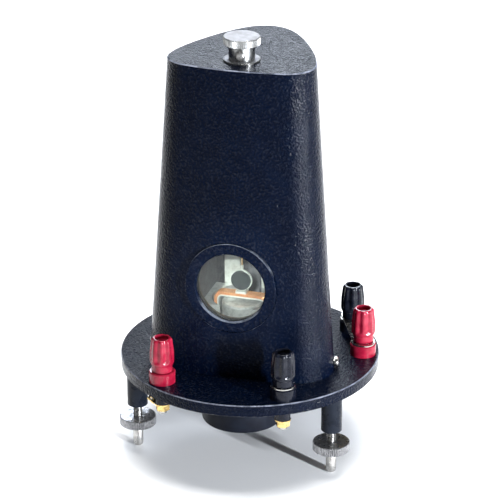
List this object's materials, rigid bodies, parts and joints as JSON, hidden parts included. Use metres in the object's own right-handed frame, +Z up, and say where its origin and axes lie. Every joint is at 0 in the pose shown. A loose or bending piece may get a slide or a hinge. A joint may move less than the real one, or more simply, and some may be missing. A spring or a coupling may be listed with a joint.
{
  "type": "suspended coil galvanometer",
  "caption": "Suspended-coil mirror galvanometer: tapered metal case with a round window, on a disc base with levelling screws, binding posts and a shorting link.",
  "frame": {"origin": "on the floor, under the centre of the base disc", "axes": "+Z up, -Y out of the window, +X to the side with the second pair of terminals"},
  "size_m": [0.17, 0.173, 0.2836],
  "materials": {
    "case_enamel": "dark hammertone enamel",
    "base_enamel": "slate grey enamel",
    "leg_enamel": "dark enamel",
    "cup_enamel": "matt black enamel",
    "nickel": "dull nickel plate",
    "steel": "turned steel",
    "soft_iron": "machined soft iron",
    "magnet_iron": "sand-cast, dark grey",
    "aluminium": "machined",
    "brass": "machined brass",
    "copper": "enamelled copper wire",
    "bronze": "phosphor bronze strip",
    "red_plastic": "moulded, glossy",
    "black_plastic": "moulded, glossy",
    "rubber": "soft black",
    "glass": "clear, flat",
    "mirror": "front silvered"
  },
  "bodies": {
    "base": {"base_plate": "base_enamel", "case_lugs": "steel", "case_screws": "nickel", "case_shell": "case_enamel", "clamp_ring_screws": "steel", "core_bracket": "brass", "core_screw": "steel", "frame_screws": "steel", "head_plate": "aluminium", "iron_core": "soft_iron", "legs": "leg_enamel", "lower_bushes": "black_plastic", "lower_contact": "brass", "lower_cup": "cup_enamel", "magnet": "magnet_iron", "magnet_stand": "aluminium", "pole_piece_left": "soft_iron", "pole_piece_right": "soft_iron", "solder_tags": "brass", "terminal_collar_front_black": "black_plastic", "terminal_collar_front_red": "red_plastic", "terminal_collar_side_black": "black_plastic", "terminal_collar_side_red": "red_plastic", "terminal_nuts": "brass", "terminal_stud_front_black": "nickel", "terminal_stud_front_red": "nickel", "terminal_stud_side_black": "nickel", "terminal_stud_side_red": "nickel", "terminal_washers": "nickel", "torsion_bush": "nickel", "uprights": "aluminium", "window_bezel": "case_enamel", "window_clamp_ring": "brass", "window_gasket": "rubber", "window_glass": "glass"},
    "spindle_left": {"levelling_spindle_left": "steel"},
    "wheel_left": {"thumbwheel_left": "nickel"},
    "spindle_right": {"levelling_spindle_right": "steel"},
    "wheel_right": {"thumbwheel_right": "nickel"},
    "spindle_rear": {"levelling_spindle_rear": "steel"},
    "wheel_rear": {"thumbwheel_rear": "nickel"},
    "insert_front_red": {"cap_insert_front_red": "brass"},
    "cap_front_red": {"terminal_cap_front_red": "red_plastic"},
    "insert_front_black": {"cap_insert_front_black": "brass"},
    "cap_front_black": {"terminal_cap_front_black": "black_plastic"},
    "insert_side_red": {"cap_insert_side_red": "brass"},
    "cap_side_red": {"terminal_cap_side_red": "red_plastic"},
    "insert_side_black": {"cap_insert_side_black": "brass"},
    "cap_side_black": {"terminal_cap_side_black": "black_plastic"},
    "torsion_head": {"torsion_spindle": "brass", "torsion_knob": "nickel"},
    "set_screw": {"torsion_set_screw": "steel"},
    "coil": {"coil_former": "aluminium", "coil_winding": "copper", "mirror_holder": "aluminium", "mirror": "mirror", "upper_suspension": "bronze", "lower_suspension": "bronze"},
    "link": {"shorting_link": "nickel"}
  },
  "joints": [
    {"name": "level_left_travel", "type": "slide", "parent": "base", "child": "spindle_left", "axis": [0, 0, -1], "range_m": [-0.006, 0.008]},
    {"name": "level_left_turn", "type": "hinge", "parent": "spindle_left", "child": "wheel_left", "pos_m": [-0.06582, -0.038, 0], "axis": [0, 0, -1], "range_deg": [-2161, 2881]},
    {"name": "level_right_travel", "type": "slide", "parent": "base", "child": "spindle_right", "axis": [0, 0, -1], "range_m": [-0.006, 0.008]},
    {"name": "level_right_turn", "type": "hinge", "parent": "spindle_right", "child": "wheel_right", "pos_m": [0.06582, -0.038, 0], "axis": [0, 0, -1], "range_deg": [-2161, 2881]},
    {"name": "level_rear_travel", "type": "slide", "parent": "base", "child": "spindle_rear", "axis": [0, 0, -1], "range_m": [-0.006, 0.008]},
    {"name": "level_rear_turn", "type": "hinge", "parent": "spindle_rear", "child": "wheel_rear", "pos_m": [0, 0.076, 0], "axis": [0, 0, -1], "range_deg": [-2161, 2881]},
    {"name": "cap_front_red_travel", "type": "slide", "parent": "base", "child": "insert_front_red", "axis": [0, 0, 1], "range_m": [0, 0.0045]},
    {"name": "cap_front_red_turn", "type": "hinge", "parent": "insert_front_red", "child": "cap_front_red", "pos_m": [-0.04014, -0.06276, 0], "axis": [0, 0, 1], "range_deg": [-1, 1621]},
    {"name": "cap_front_black_travel", "type": "slide", "parent": "base", "child": "insert_front_black", "axis": [0, 0, 1], "range_m": [0, 0.0045]},
    {"name": "cap_front_black_turn", "type": "hinge", "parent": "insert_front_black", "child": "cap_front_black", "pos_m": [0.04014, -0.06276, 0], "axis": [0, 0, 1], "range_deg": [-1, 1621]},
    {"name": "cap_side_red_travel", "type": "slide", "parent": "base", "child": "insert_side_red", "axis": [0, 0, 1], "range_m": [0, 0.0045]},
    {"name": "cap_side_red_turn", "type": "hinge", "parent": "insert_side_red", "child": "cap_side_red", "pos_m": [0.0733, 0.01332, 0], "axis": [0, 0, 1], "range_deg": [-1, 1621]},
    {"name": "cap_side_black_travel", "type": "slide", "parent": "base", "child": "insert_side_black", "axis": [0, 0, 1], "range_m": [0, 0.0045]},
    {"name": "cap_side_black_turn", "type": "hinge", "parent": "insert_side_black", "child": "cap_side_black", "pos_m": [0.05749, 0.04739, 0], "axis": [0, 0, 1], "range_deg": [-1, 1621]},
    {"name": "torsion_knob_turn", "type": "hinge", "parent": "base", "child": "torsion_head", "pos_m": [0, -0.018, 0.28], "axis": [0, 0, 1], "range_deg": [-180, 180]},
    {"name": "set_screw_travel", "type": "slide", "parent": "base", "child": "set_screw", "axis": [0.1736, -0.9848, 0], "range_m": [0, 0.002]},
    {"name": "coil_turn", "type": "hinge", "parent": "base", "child": "coil", "pos_m": [0, -0.018, 0.1195], "axis": [0, 0, 1], "range_deg": [-12, 12], "stiffness_Nm_per_rad": 0.0001},
    {"name": "link_swing", "type": "hinge", "parent": "base", "child": "link", "pos_m": [0.05749, 0.04739, 0.0712], "axis": [0, 0, 1], "range_deg": [0, 75]}
  ],
  "couplings": [
    {"joint": "level_left_turn", "follows": "level_left_travel", "rad_per_m": 6283.2},
    {"joint": "level_right_turn", "follows": "level_right_travel", "rad_per_m": 6283.2},
    {"joint": "level_rear_turn", "follows": "level_rear_travel", "rad_per_m": 6283.2},
    {"joint": "cap_front_red_turn", "follows": "cap_front_red_travel", "rad_per_m": 6283.2},
    {"joint": "cap_front_black_turn", "follows": "cap_front_black_travel", "rad_per_m": 6283.2},
    {"joint": "cap_side_red_turn", "follows": "cap_side_red_travel", "rad_per_m": 6283.2},
    {"joint": "cap_side_black_turn", "follows": "cap_side_black_travel", "rad_per_m": 6283.2}
  ]
}
